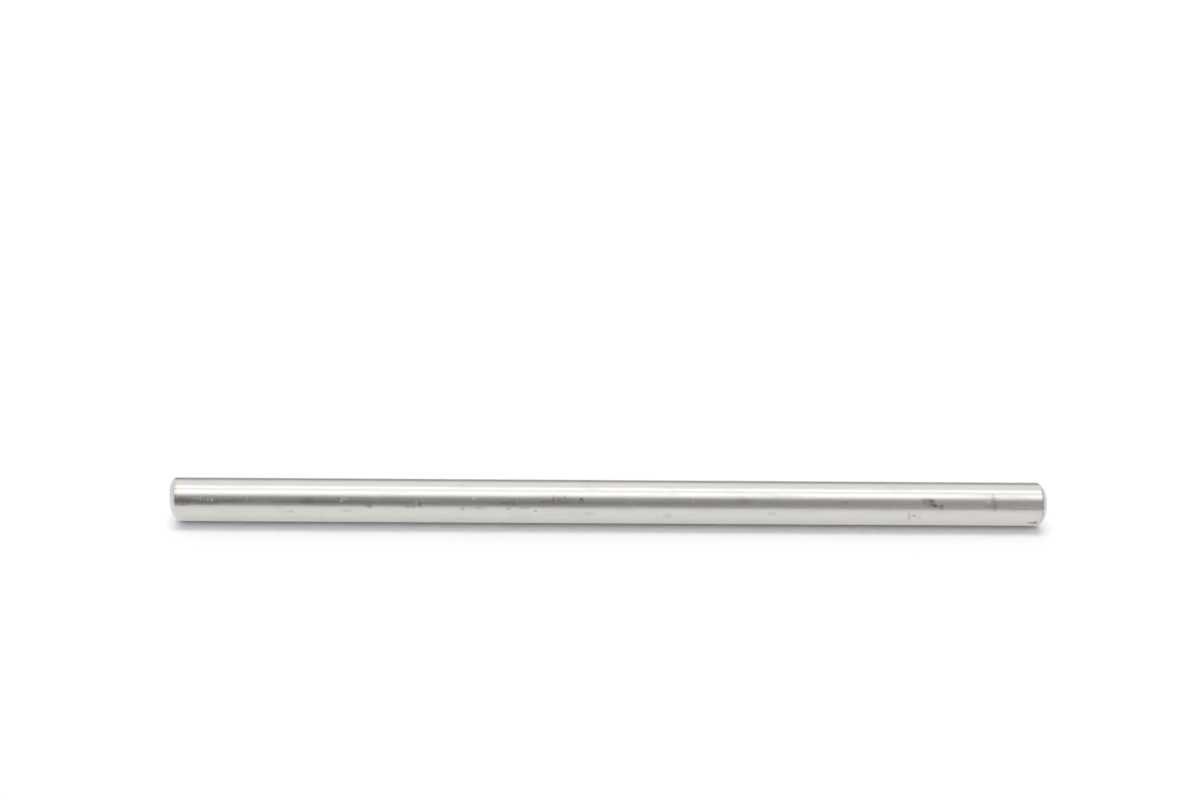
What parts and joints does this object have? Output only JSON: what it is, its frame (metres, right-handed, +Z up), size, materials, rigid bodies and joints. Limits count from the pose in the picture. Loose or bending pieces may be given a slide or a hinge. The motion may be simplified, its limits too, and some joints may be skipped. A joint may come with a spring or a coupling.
{
  "type": "knife block pin",
  "caption": "Plain turned stainless steel pin with a chamfered edge at each end, the loose cross pin of a knife block.",
  "frame": {"origin": "middle of the pin, on its axis, half way between the two end faces", "axes": "+X along the pin's axis, +Z up when the pin lies level"},
  "size_m": [0.16, 0.008, 0.008],
  "materials": {
    "steel": "bright turned stainless steel with fine drawn lines along its length, worn, stained and lightly scratched"
  },
  "bodies": {
    "root": {"pin": "steel"}
  },
  "joints": []
}
